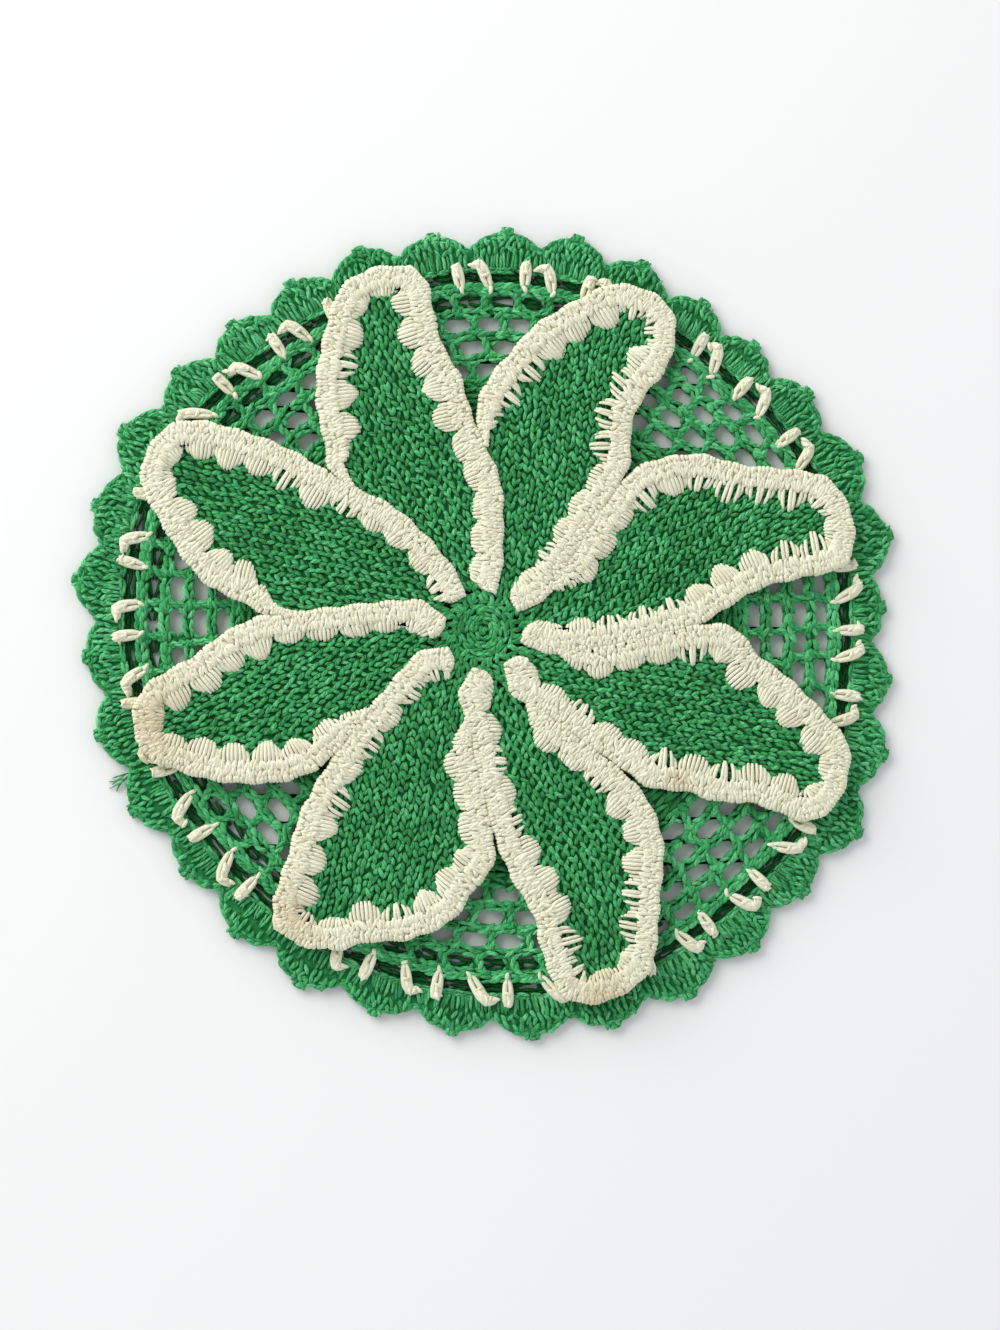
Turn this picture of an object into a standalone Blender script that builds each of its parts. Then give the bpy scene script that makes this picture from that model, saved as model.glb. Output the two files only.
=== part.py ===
"""Round crocheted doily: a green openwork mat, a round of ecru posts, a scalloped edging,
and a pinwheel of eight raised green petals with thick ecru borders. It lies flat, +Z up."""
import math
import bpy
import bmesh

MM = 0.001                       # the tables and sizes below are in millimetres
JOIN = 0.0001 * MM               # loose curve caps are joined to their walls within this
GAP = 0.3                        # between neighbouring pieces
CLEAR = 1.0                      # how far a cutter reaches past what it cuts

# Heights above the table
LAYER_TOP = 2.6                  # the mat, and the edging round it
POST_TOP = 1.7                   # the ecru posts between them, and their chain
LIP_BASE = POST_TOP + GAP        # the edging covers the chain from here up
PETAL_BASE = LAYER_TOP + GAP
FIELD_TOP = 5.0                  # the green leaf
BORDER_TOP = 6.0                 # its ecru border
HUB_TOP = 4.2                    # the raised middle of the mat

# Centres: the rounds of the mat are not quite round the middle of the pinwheel
ROUND_CENTRE = (1.53, -0.02)
PINWHEEL_CENTRE = (-1.09, -0.02)

# The edging's scallops, in order anticlockwise: the direction and distance of each tip from
# ROUND_CENTRE, in degrees and millimetres
SCALLOP_TIPS = (
    (3.6, 87.4), (13.9, 91.5), (25.7, 91.1), (37.5, 88.9), (47.8, 87.2), (57.4, 87.6),
    (68.1, 89.0), (78.1, 89.9), (88.2, 89.4), (99.2, 88.9), (109.6, 89.8), (120.6, 89.3),
    (130.8, 89.2), (141.1, 90.5), (151.7, 93.0), (162.6, 92.0), (173.2, 92.6), (184.1, 89.9),
    (195.0, 90.0), (206.6, 88.8), (217.9, 86.4), (229.4, 87.7), (241.0, 88.7), (252.5, 87.9),
    (264.0, 88.7), (275.6, 89.7), (287.2, 90.7), (298.7, 91.4), (309.8, 90.8), (320.4, 90.2),
    (331.3, 92.8), (342.8, 91.5), (353.4, 89.0),
)
VALLEY_DEPTH = 5.2               # from the mean of two tips down to the valley between them
SHOULDER_RISE = 0.58             # the shell's shoulders, as a share of the way up to the tip
SHOULDER_PLACE = 0.30            # in scallops from the tip
PICOT_HEIGHT = 1.3               # the small point at the tip
PICOT_FOOT = 0.10                # its half widths, in scallops
PICOT_HEAD = 0.04
EDGING_INNER = 80.8
STRAIGHT_POST = -0.31            # places of a scallop's two posts, in scallops from its tip
SLANTED_POST = 0.27
POST_LEAN = 0.17                 # how far the slanted one leans, in scallops
POST_WIDTH = 1.6
POST_FOOT = 76.4
POST_HEAD = 80.5
CHAIN_OUTER = 82.0               # the thin chain that the posts hang from
MAT_RADIUS = POST_FOOT - GAP
RING_SIDES = 66
SWELL_SHARE = 0.85               # how far the rounds follow the edging out and in

# The mat's rounds of square mesh: radius of the middle of the gaps, and gaps in the round
MESH_ROUNDS = ((73.2, 66), (68.1, 60), (63.0, 54), (57.9, 48))
MESH_GAP_HALF_WIDTH = 2.35
MESH_GAP_HALF_HEIGHT = 1.65
MESH_GAP_SHAPE = ((-1, 0), (-0.6, -1), (0.6, -1), (1, 0), (0.6, 1), (-0.6, 1))
HUB_RADIUS = 6.4
HUB_SIDES = 24

# Petals, in order anticlockwise. Each has its own axis out of PINWHEEL_CENTRE: x is to its
# clockwise side and y is outwards. The columns are the axis's direction in degrees, the
# distance to the tip, how much lower the tip's anticlockwise corner is, how far from the
# middle its anticlockwise border runs under the next petal, and the outline's x on each
# side, at the distances below and last (on the left first) a TIP_DROP short of the tip.
RIGHT_STATIONS = (11, 20, 30, 40, 47, 55, 62, 70)
LEFT_STATIONS = (66, 58, 50, 42, 32, 22, 13)
TIP_DROP = 6.0
TIP_CORNER_DROP = 1.6            # the tip's round corners, below it
TIP_CORNER_WIDTH = 0.63          # as a share of the width at TIP_DROP
PETALS = (
    (18, 85.7, 0.0, 14, (8.8, 11.2, 12.4, 13.2, 13.0, 11.0, 9.7, 10.3, 10.9),
     (-11.4, -17.4, -22.3, -24.1, -23.5, -17.0, -8.9, -3.2)),
    (64, 83.8, 0.4, 36, (8.6, 10.4, 11.5, 12.6, 12.9, 9.6, 9.2, 10.9, 9.4),
     (-11.5, -19.0, -21.4, -23.3, -22.3, -14.0, -7.5, -3.2)),
    (107, 83.0, 0.0, 38, (7.6, 10.8, 13.2, 12.2, 11.4, 11.5, 9.8, 10.0, 10.4),
     (-11.4, -17.8, -20.6, -21.3, -21.6, -13.0, -6.5, -2.6)),
    (152, 83.0, 0.3, 38, (8.4, 12.2, 14.6, 14.4, 14.6, 14.9, 14.3, 12.8, 10.6),
     (-10.2, -16.6, -19.7, -19.6, -19.0, -12.8, -6.3, -2.4)),
    (197, 78.9, 0.0, 27, (10.2, 12.6, 14.4, 16.2, 17.0, 15.5, 12.8, 11.0, 10.0),
     (-9.6, -14.1, -17.3, -19.0, -18.0, -12.6, -5.6, -2.0)),
    (240, 79.8, 2.4, 17, (9.8, 12.0, 13.6, 14.6, 14.9, 14.5, 12.7, 11.0, 10.0),
     (-12.0, -19.9, -25.6, -26.5, -27.1, -19.5, -10.0, -3.8)),
    (289, 85.2, 0.2, 15, (9.6, 10.5, 11.8, 12.4, 12.3, 11.5, 9.9, 10.7, 10.2),
     (-12.6, -18.4, -21.9, -22.6, -20.5, -14.6, -7.8, -3.0)),
    (336, 86.8, 0.0, 15, (10.2, 11.5, 13.6, 15.2, 16.5, 14.0, 13.2, 10.2, 9.4),
     (-12.2, -18.1, -19.8, -23.3, -20.5, -13.4, -6.0, -2.2)),
)
BORDER_END = ((2.2, 9.4), (5.0, 7.2))    # the rounded inner end of a petal's border
BORDER_WIDTH = 5.2               # at the bottom of the notches
TOOTH_PITCH = 7.0
TOOTH_DEPTH = 3.2                # on the outer half of a petal
INNER_TOOTH_DEPTH = 1.7          # nearer the middle and at the tip
TOOTH_SHAPE = ((0.0, 0.0), (0.16, 0.85), (0.5, 1.0), (0.84, 0.9))   # of pitch and depth
TOOTH_UNEVENNESS = 0.12          # how much the depth varies, as a wave along the teeth
TOOTH_WAVE = 2.4
END_TAPER = 9.0                  # the border narrows over this before it goes under
END_WIDTH = 0.8
OUTER_HALF = 42                  # where the deeper teeth begin
TOOTHLESS_TIP = 9                # how far short of the tip they end
FIELD_CLEARANCE = 1.0            # across the teeth's slanting sides this leaves GAP
OUTLINE_STEP = 4.5               # between an outline's points
TOOTH_STEP = 1.5                 # between the points that teeth are measured along
INSET_STEP = 1.0                 # between the points that a border's inner line is moved from
INSET_SLACK = 0.02

GREEN = (0.013, 0.279, 0.082, 1.0)
ECRU = (0.807, 0.738, 0.578, 1.0)


def clear_scene():
    """Remove the objects that are there."""
    for existing in list(bpy.data.objects):
        bpy.data.objects.remove(existing, do_unlink=True)


def yarn_material(name, colour):
    """Matt cotton yarn."""
    material = bpy.data.materials.new(name)
    material.use_nodes = True
    material.diffuse_color = colour
    shader = material.node_tree.nodes["Principled BSDF"]
    shader.inputs["Base Color"].default_value = colour
    shader.inputs["Roughness"].default_value = 0.85
    shader.inputs["Metallic"].default_value = 0.0
    return material


def polar(centre, degrees, radius):
    """A point at a direction and distance from a centre."""
    angle = math.radians(degrees)
    return (centre[0] + radius * math.cos(angle), centre[1] + radius * math.sin(angle))


def flat_solid(name, outlines, bottom, top, collection):
    """A flat piece from closed outlines, the later ones its holes, between two heights."""
    curve = bpy.data.curves.new(name, "CURVE")
    curve.dimensions = "2D"
    curve.fill_mode = "BOTH"
    curve.extrude = (top - bottom) / 2 * MM
    curve.render_resolution_u = 0
    for outline in outlines:
        spline = curve.splines.new("POLY")
        spline.points.add(len(outline) - 1)
        for point, (x, y) in zip(spline.points, outline):
            point.co = (x * MM, y * MM, 0, 1)
        spline.use_cyclic_u = True
    shape = bpy.data.objects.new(name + "_outline", curve)
    shape.location.z = (bottom + top) / 2 * MM
    collection.objects.link(shape)
    bpy.context.view_layer.update()
    evaluated = shape.evaluated_get(bpy.context.evaluated_depsgraph_get())
    mesh = bpy.data.meshes.new_from_object(evaluated)
    mesh.name = name
    solid = bpy.data.objects.new(name, mesh)
    solid.matrix_world = shape.matrix_world.copy()
    collection.objects.link(solid)
    bpy.data.objects.remove(shape, do_unlink=True)
    bpy.data.curves.remove(curve)
    cage = bmesh.new()
    cage.from_mesh(mesh)
    bmesh.ops.remove_doubles(cage, verts=cage.verts, dist=JOIN)
    bmesh.ops.recalc_face_normals(cage, faces=cage.faces)
    cage.to_mesh(mesh)
    cage.free()
    return solid


def boolean(solid, operation, other):
    """Join another solid to this one, or cut it out."""
    modifier = solid.modifiers.new(operation.title() + "_" + other.name, "BOOLEAN")
    modifier.operation = operation
    modifier.solver = "EXACT"
    modifier.object = other


def hide(helper):
    """Mark a cutter, or a shape that is joined to a piece, as no piece of its own."""
    helper.hide_render = True
    helper.display_type = "WIRE"
    return helper


def around(step):
    """Direction of a place along the rounds, counted in scallops from the first tip."""
    count = len(SCALLOP_TIPS)
    whole = math.floor(step)
    here = SCALLOP_TIPS[whole % count][0] + 360 * (whole // count)
    ahead = SCALLOP_TIPS[(whole + 1) % count][0] + 360 * ((whole + 1) // count)
    return here + (ahead - here) * (step - whole)


def swell(step):
    """How much further out than their mean the rounds lie at a place along them."""
    count = len(SCALLOP_TIPS)
    mean = sum(tip for _, tip in SCALLOP_TIPS) / count
    whole = math.floor(step)
    near = sum(SCALLOP_TIPS[(whole + place) % count][1] for place in (-1, 0, 1)) / 3
    ahead = sum(SCALLOP_TIPS[(whole + place) % count][1] for place in (0, 1, 2)) / 3
    return SWELL_SHARE * (near + (ahead - near) * (step - whole) - mean)


def on_round(step, radius, turn=0.0):
    """A point of a round, at a place along it and so many degrees past that place."""
    return polar(ROUND_CENTRE, around(step) + turn, radius + swell(step))


def ring(radius):
    """The closed outline of a round."""
    return [on_round(side * len(SCALLOP_TIPS) / RING_SIDES, radius) for side in range(RING_SIDES)]


def circle(centre, radius, sides):
    """A closed outline with even sides."""
    return [polar(centre, 360 * side / sides, radius) for side in range(sides)]


def make_ground(collection, helpers, material):
    """The mat: its rim, the rounds of six-sided gaps, and the hub raised in its middle."""
    scallops = len(SCALLOP_TIPS)
    outlines = [ring(MAT_RADIUS)]
    for radius, count in MESH_ROUNDS:
        for gap in range(count):
            middle = gap * scallops / count
            wide = math.degrees(MESH_GAP_HALF_WIDTH / radius)
            outlines.append([
                on_round(middle, radius + up * MESH_GAP_HALF_HEIGHT, across * wide)
                for across, up in MESH_GAP_SHAPE
            ])
    ground = flat_solid("ground", outlines, 0, LAYER_TOP, collection)
    hub_outline = circle(PINWHEEL_CENTRE, HUB_RADIUS, HUB_SIDES)
    hub = hide(flat_solid("hub", [hub_outline], LAYER_TOP / 2, HUB_TOP, helpers))
    boolean(ground, "UNION", hub)
    ground.data.materials.append(material)


def post_outline(foot, head):
    """One post's corners, from its left side at the head round to the other side, with its
    foot and head at places along the rounds."""
    half = math.degrees(POST_WIDTH / 2 / POST_HEAD)
    return [on_round(head, POST_HEAD, -half), on_round(foot, POST_FOOT, -half),
            on_round(foot, POST_FOOT, half), on_round(head, POST_HEAD, half)]


def make_ladder(collection, material):
    """The ecru round: posts that reach in to the mat's rim from a thin chain."""
    comb = []
    for scallop in range(len(SCALLOP_TIPS)):
        straight = scallop + STRAIGHT_POST
        slanted = scallop + SLANTED_POST
        comb += post_outline(straight, straight)
        comb += post_outline(slanted - POST_LEAN / 2, slanted + POST_LEAN / 2)
    ladder = flat_solid("ladder", [ring(CHAIN_OUTER), comb], 0, POST_TOP, collection)
    ladder.data.materials.append(material)


def make_edging(collection, helpers, material):
    """The scalloped round, with a lip that covers the ladder's chain."""
    count = len(SCALLOP_TIPS)
    outline = []
    for scallop, (_, tip) in enumerate(SCALLOP_TIPS):
        before = (SCALLOP_TIPS[scallop - 1][1] + tip) / 2 - VALLEY_DEPTH
        after = (SCALLOP_TIPS[(scallop + 1) % count][1] + tip) / 2 - VALLEY_DEPTH
        profile = (
            (-0.5, before),
            (-SHOULDER_PLACE, before + SHOULDER_RISE * (tip - before)),
            (-PICOT_FOOT, tip - PICOT_HEIGHT), (-PICOT_HEAD, tip),
            (PICOT_HEAD, tip), (PICOT_FOOT, tip - PICOT_HEIGHT),
            (SHOULDER_PLACE, after + SHOULDER_RISE * (tip - after)),
        )
        for place, radius in profile:
            outline.append(polar(ROUND_CENTRE, around(scallop + place), radius))
    edging = flat_solid("edging", [outline, ring(EDGING_INNER)], 0, LAYER_TOP, collection)
    groove = hide(flat_solid("groove", [ring(CHAIN_OUTER + GAP)], -CLEAR, LIP_BASE, helpers))
    boolean(edging, "DIFFERENCE", groove)
    edging.data.materials.append(material)


def smooth(points, step):
    """Points about a step apart along an open smooth curve through the ones given."""
    ends = [points[0]] + list(points) + [points[-1]]
    result = []
    for first, start, end, last in zip(ends, ends[1:], ends[2:], ends[3:]):
        pieces = max(1, round(math.dist(start, end) / step))
        for piece in range(pieces):
            t = piece / pieces
            result.append(tuple(
                0.5 * (2 * b + (c - a) * t + (2 * a - 5 * b + 4 * c - d) * t * t
                       + (3 * b - a - 3 * c + d) * t ** 3)
                for a, b, c, d in zip(first, start, end, last)
            ))
    result.append(points[-1])
    return result


def evenly(points, step):
    """Points an even step apart along an open line."""
    lengths = [0.0]
    for start, end in zip(points, points[1:]):
        lengths.append(lengths[-1] + math.dist(start, end))
    count = max(1, round(lengths[-1] / step))
    result = []
    leg = 0
    for place in range(count + 1):
        target = lengths[-1] * place / count
        while leg < len(points) - 2 and lengths[leg + 1] < target:
            leg += 1
        span = lengths[leg + 1] - lengths[leg]
        t = (target - lengths[leg]) / span
        (x0, y0), (x1, y1) = points[leg], points[leg + 1]
        result.append((x0 + (x1 - x0) * t, y0 + (y1 - y0) * t))
    return result


def beside(points, distances):
    """The line moved to its left by a distance for each of its points."""
    result = []
    for index, (x, y) in enumerate(points):
        x0, y0 = points[max(index - 1, 0)]
        x1, y1 = points[min(index + 1, len(points) - 1)]
        length = math.dist((x0, y0), (x1, y1))
        shift = distances[index] / length
        result.append((x - (y1 - y0) * shift, y + (x1 - x0) * shift))
    return result


def inset_line(points, distance):
    """The line moved to its left, without the loops that this makes in its tight bends."""
    dense = evenly(points, INSET_STEP)
    moved = beside(dense, [distance] * len(dense))
    return [place for place in moved
            if min(math.dist(place, point) for point in dense) > distance - INSET_SLACK]


def petal_outline(petal):
    """The outer line of a petal, from its inner end on the clockwise side, round the tip,
    to the middle on the other side, in the petal's own directions."""
    _, reach, skew, _, right, left = petal
    points = [BORDER_END[1]] + list(zip(right, RIGHT_STATIONS))
    points += [
        (right[-1], reach - TIP_DROP),
        (TIP_CORNER_WIDTH * right[-1], reach - TIP_CORNER_DROP),
        (0.0, reach - skew / 3),
        (TIP_CORNER_WIDTH * left[0], reach - TIP_CORNER_DROP - skew),
        (left[0], reach - TIP_DROP - skew),
    ]
    points += list(zip(left[1:], LEFT_STATIONS))
    return smooth(points, OUTLINE_STEP)


def place_petal(petal, points):
    """Turn a petal's own points into the doily's."""
    axis = math.radians(petal[0])
    out = (math.cos(axis), math.sin(axis))
    return [
        (PINWHEEL_CENTRE[0] + x * out[1] + y * out[0],
         PINWHEEL_CENTRE[1] - x * out[0] + y * out[1])
        for x, y in points
    ]


def seen_part(petal, outline):
    """The outline up to where the petal's border runs under its neighbour."""
    tip = max(range(len(outline)), key=lambda index: outline[index][1])
    tuck = petal[3]
    return [point for index, point in enumerate(outline) if index < tip or point[1] > tuck]


def toothed_line(petal, outer, extra):
    """The border's inner line: groups of long stitches, with a notch between each two."""
    base = evenly(inset_line(outer, BORDER_WIDTH), TOOTH_STEP)
    length = TOOTH_STEP * (len(base) - 1)
    teeth = round(length / TOOTH_PITCH)
    outer_end = petal[1] - TOOTHLESS_TIP
    indices = []
    depths = []
    places = [(tooth, across, share) for tooth in range(teeth) for across, share in TOOTH_SHAPE]
    for tooth, across, share in places + [(teeth, 0.0, 0.0)]:
        index = min(round((tooth + across) / teeth * (len(base) - 1)), len(base) - 1)
        deep = OUTER_HALF < base[index][1] < outer_end
        depth = TOOTH_DEPTH if deep else INNER_TOOTH_DEPTH
        uneven = 1 + TOOTH_UNEVENNESS * math.sin(TOOTH_WAVE * tooth + petal[0])
        narrowed = max(0.0, 1 - (length - index * TOOTH_STEP) / END_TAPER)
        indices.append(index)
        depths.append(share * depth * uneven * (1 - narrowed) + extra * (2 - share)
                      - (BORDER_WIDTH - END_WIDTH) * narrowed)
    everywhere = [0.0] * len(base)
    for index, depth in zip(indices, depths):
        everywhere[index] = depth
    moved = beside(base, everywhere)
    return [moved[index] for index in indices]


def beyond_end(outer, ahead, inner_end):
    """The leaf's two corners past the end of its border, from the inner line to the outer."""
    end = outer[-1]
    share = FIELD_CLEARANCE / math.dist(end, ahead)
    shift = ((ahead[0] - end[0]) * share, (ahead[1] - end[1]) * share)
    return [(x + shift[0], y + shift[1]) for x, y in (inner_end, end)]


def make_petals(collection, helpers, green, ecru):
    """Eight leaves and their borders, each cut where the next petal lies over it."""
    covers = []
    for number, petal in enumerate(PETALS, 1):
        outline = petal_outline(petal)
        cover_outline = beside(outline, [-GAP] * len(outline))
        covers.append(hide(flat_solid(
            f"cover_{number}", [place_petal(petal, cover_outline)], 0, BORDER_TOP + CLEAR, helpers)))
    for number, petal in enumerate(PETALS, 1):
        outline = petal_outline(petal)
        outer = seen_part(petal, outline)
        inner = toothed_line(petal, outer, 0.0)
        loop = outer + inner[::-1] + [BORDER_END[0]]
        border = flat_solid(f"petal_edge_{number}", [place_petal(petal, loop)],
                            PETAL_BASE, BORDER_TOP, collection)
        field_line = toothed_line(petal, outer, FIELD_CLEARANCE)
        under = beyond_end(outer, outline[len(outer)], field_line[-1]) + outline[len(outer) + 1:]
        field = flat_solid(f"petal_{number}", [place_petal(petal, field_line + under)],
                           PETAL_BASE, FIELD_TOP, collection)
        following = covers[number % len(PETALS)]
        boolean(border, "DIFFERENCE", following)
        boolean(field, "DIFFERENCE", following)
        border.data.materials.append(ecru)
        field.data.materials.append(green)


def main():
    clear_scene()
    doily = bpy.data.collections.new("Crocheted doily")
    helpers = bpy.data.collections.new("Cutters and joined shapes")
    for collection in (doily, helpers):
        bpy.context.scene.collection.children.link(collection)
    green = yarn_material("Green cotton yarn", GREEN)
    ecru = yarn_material("Ecru cotton yarn", ECRU)
    make_ground(doily, helpers, green)
    make_ladder(doily, ecru)
    make_edging(doily, helpers, green)
    make_petals(doily, helpers, green, ecru)


main()
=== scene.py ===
# Looks of a round crocheted doily: every stitch as yarn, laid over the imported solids.
import math
from collections import namedtuple

import bpy
import numpy as np
from mathutils import Matrix, Vector


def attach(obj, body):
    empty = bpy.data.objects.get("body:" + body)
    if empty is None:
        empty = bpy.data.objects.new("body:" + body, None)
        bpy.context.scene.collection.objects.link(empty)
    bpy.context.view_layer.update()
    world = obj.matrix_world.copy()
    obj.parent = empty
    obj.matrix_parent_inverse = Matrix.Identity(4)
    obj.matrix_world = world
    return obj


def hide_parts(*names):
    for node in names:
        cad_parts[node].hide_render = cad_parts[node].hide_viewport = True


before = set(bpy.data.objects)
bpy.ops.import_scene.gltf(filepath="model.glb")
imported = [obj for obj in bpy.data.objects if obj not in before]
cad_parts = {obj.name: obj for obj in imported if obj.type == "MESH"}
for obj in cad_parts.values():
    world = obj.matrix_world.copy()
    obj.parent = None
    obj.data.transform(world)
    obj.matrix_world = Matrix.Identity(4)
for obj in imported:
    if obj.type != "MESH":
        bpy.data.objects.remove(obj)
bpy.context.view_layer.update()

MM = 0.001                       # the tables and sizes below are in millimetres
CHANCE = np.random.default_rng(64)

# ---------------------------------------------------------------- sizes, as the solids have

LAYER_TOP = 2.6                  # heights: of the mat and its edging,
POST_TOP = 1.7                   # of the ladder round,
PETAL_BASE = 2.9                 # of the petals' lower side,
FIELD_TOP = 5.0                  # of their leaves,
BORDER_TOP = 6.0                 # of their borders,
HUB_TOP = 4.2                    # and of the mat's hub
HUB_RADIUS = 6.4                 # of its flat top
ROUND_CENTRE = (1.53, -0.02)     # the middle of the mat's rounds
PINWHEEL_CENTRE = (-1.09, -0.02)    # where the petals' axes meet

# The edging's scallops: direction in degrees and distance in mm of each tip from ROUND_CENTRE
SCALLOP_TIPS = (
    (3.6, 87.4), (13.9, 91.5), (25.7, 91.1), (37.5, 88.9), (47.8, 87.2), (57.4, 87.6),
    (68.1, 89.0), (78.1, 89.9), (88.2, 89.4), (99.2, 88.9), (109.6, 89.8), (120.6, 89.3),
    (130.8, 89.2), (141.1, 90.5), (151.7, 93.0), (162.6, 92.0), (173.2, 92.6), (184.1, 89.9),
    (195.0, 90.0), (206.6, 88.8), (217.9, 86.4), (229.4, 87.7), (241.0, 88.7), (252.5, 87.9),
    (264.0, 88.7), (275.6, 89.7), (287.2, 90.7), (298.7, 91.4), (309.8, 90.8), (320.4, 90.2),
    (331.3, 92.8), (342.8, 91.5), (353.4, 89.0),
)
TIP_DIRECTIONS, TIP_REACHES = np.array(SCALLOP_TIPS).T
SCALLOPS = len(SCALLOP_TIPS)
VALLEY_DEPTH = 5.2               # of the notches between scallops, from the tips
STRAIGHT_POST = -0.31            # places of a scallop's two ladder posts, in scallops
SLANTED_POST = 0.27
POST_LEAN = 0.17                 # how much further along the slanted one's outer end is
FIRST_EDGING_ROW = 80.0
FAN_TOP = 83.9                   # where the scallops' fans of fine stitches end
SWELL_SHARE = 0.85               # how much of the scallops' unevenness the rounds have
MESH_ROUNDS = ((73.2, 66), (68.1, 60), (63.0, 54), (57.9, 48))    # the gaps: radius, count
CHAIN_ROUNDS = (75.45, 70.65, 65.55, 60.45, 55.35)    # the chains between those rounds
CLOSED_TO = 53.6                 # further in than this the mat has no gaps
PLY_PITCH = 1.5                  # along the yarn for one turn of its plies; real ones are finer
ALL_ROUND = np.arange(0, SCALLOPS, 0.05)    # close places along a whole round, in scallops

# Petals: the axis' direction in degrees, how far the tip reaches, how much less it does on its
# anticlockwise side, how far out the border goes under its neighbour there, x at the stations on
# the clockwise side and then on the other, how far the stitches slant anticlockwise of the axis
# in degrees, and the share of the border's teeth that are open, with the leaf showing between
Petal = namedtuple("Petal", "direction reach skew tuck right left slant open_share")
RIGHT_STATIONS = (11, 20, 30, 40, 47, 55, 62, 70)
LEFT_STATIONS = (66, 58, 50, 42, 32, 22, 13)
TIP_DROP = 6.0                   # from a petal's reach in to where its sides end
TIP_CORNER_DROP = 1.6            # and to the corners between, which are this share as wide
TIP_CORNER_WIDTH = 0.63
PETALS = tuple(Petal(*sizes) for sizes in (
    (18, 85.7, 0.0, 14, (8.8, 11.2, 12.4, 13.2, 13.0, 11.0, 9.7, 10.3, 10.9),
     (-11.4, -17.4, -22.3, -24.1, -23.5, -17.0, -8.9, -3.2), 50, 0.35),
    (64, 83.8, 0.4, 36, (8.6, 10.4, 11.5, 12.6, 12.9, 9.6, 9.2, 10.9, 9.4),
     (-11.5, -19.0, -21.4, -23.3, -22.3, -14.0, -7.5, -3.2), 40, 0.5),
    (107, 83.0, 0.0, 38, (7.6, 10.8, 13.2, 12.2, 11.4, 11.5, 9.8, 10.0, 10.4),
     (-11.4, -17.8, -20.6, -21.3, -21.6, -13.0, -6.5, -2.6), 24, 0.15),
    (152, 83.0, 0.3, 38, (8.4, 12.2, 14.6, 14.4, 14.6, 14.9, 14.3, 12.8, 10.6),
     (-10.2, -16.6, -19.7, -19.6, -19.0, -12.8, -6.3, -2.4), 24, 0.15),
    (197, 78.9, 0.0, 27, (10.2, 12.6, 14.4, 16.2, 17.0, 15.5, 12.8, 11.0, 10.0),
     (-9.6, -14.1, -17.3, -19.0, -18.0, -12.6, -5.6, -2.0), 25, 0.15),
    (240, 79.8, 2.4, 17, (9.8, 12.0, 13.6, 14.6, 14.9, 14.5, 12.7, 11.0, 10.0),
     (-12.0, -19.9, -25.6, -26.5, -27.1, -19.5, -10.0, -3.8), 43, 0.2),
    (289, 85.2, 0.2, 15, (9.6, 10.5, 11.8, 12.4, 12.3, 11.5, 9.9, 10.7, 10.2),
     (-12.6, -18.4, -21.9, -22.6, -20.5, -14.6, -7.8, -3.0), 14, 0.3),
    (336, 86.8, 0.0, 15, (10.2, 11.5, 13.6, 15.2, 16.5, 14.0, 13.2, 10.2, 9.4),
     (-12.2, -18.1, -19.8, -23.3, -20.5, -13.4, -6.0, -2.2), 30, 0.2),
))
BORDER_END = ((2.2, 9.4), (5.0, 7.2))    # the corners of a border's inner end
ROUND_END = ((1.5, 11.6), (1.6, 9.9), (2.5, 8.4), (4.0, 7.4))    # the yarn's line round it
BORDER_WIDTH = 5.2
END_TAPER = 9.0                  # the border narrows over this before it goes under
END_WIDTH = 0.8
TOOTH_PITCH = 7.0
TOOTH_DEPTH = 3.2                # from OUTER_HALF out, as far as TOOTHLESS_TIP from the reach
INNER_TOOTH_DEPTH = 1.7          # elsewhere
OUTER_HALF = 42
TOOTHLESS_TIP = 9
TOOTH_UNEVENNESS = 0.12
TOOTH_WAVE = 2.4                 # radians from tooth to tooth
LEAF_MARGIN = 4.3                # how far under its border's inner side a leaf reaches
# Faint old stains on the borders: x, y, radius and strength
STAINS = ((-73, -21, 13, 0.4), (-43, -62, 10, 0.34), (41.7, -32.5, 4, 0.4), (25, -80, 11, 0.3))
STAIN_COLOUR = "#C8A062"
COTTON_IOR = 1.53


# ---------------------------------------------------------------- materials

def linear(code):
    """An sRGB hex colour as Blender's linear one."""
    channels = [int(code[place:place + 2], 16) / 255 for place in (1, 3, 5)]
    return [c / 12.92 if c < 0.04045 else ((c + 0.055) / 1.055) ** 2.4 for c in channels] + [1.0]


def set_inputs(owner, node, inputs):
    """Give each of a node's inputs, by name or number, a value or, where that is another
    node's output, a link."""
    for name, value in inputs.items():
        if isinstance(value, bpy.types.NodeSocket):
            owner.node_tree.links.new(value, node.inputs[name])
        else:
            node.inputs[name].default_value = value


def add_node(owner, kind, inputs, **settings):
    """Add a node, with its settings and links, to a material or a world."""
    added = owner.node_tree.nodes.new(kind)
    for name, value in settings.items():
        setattr(added, name, value)
    set_inputs(owner, added, inputs)
    return added


def new_material(name, colour):
    """A new material, its shader, and the output that says where on the piece a point is."""
    material = bpy.data.materials.new(name)
    material.use_nodes = True
    material.diffuse_color = linear(colour)
    place = add_node(material, "ShaderNodeTexCoord", {}).outputs["Object"]
    return material, material.node_tree.nodes["Principled BSDF"], place


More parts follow.
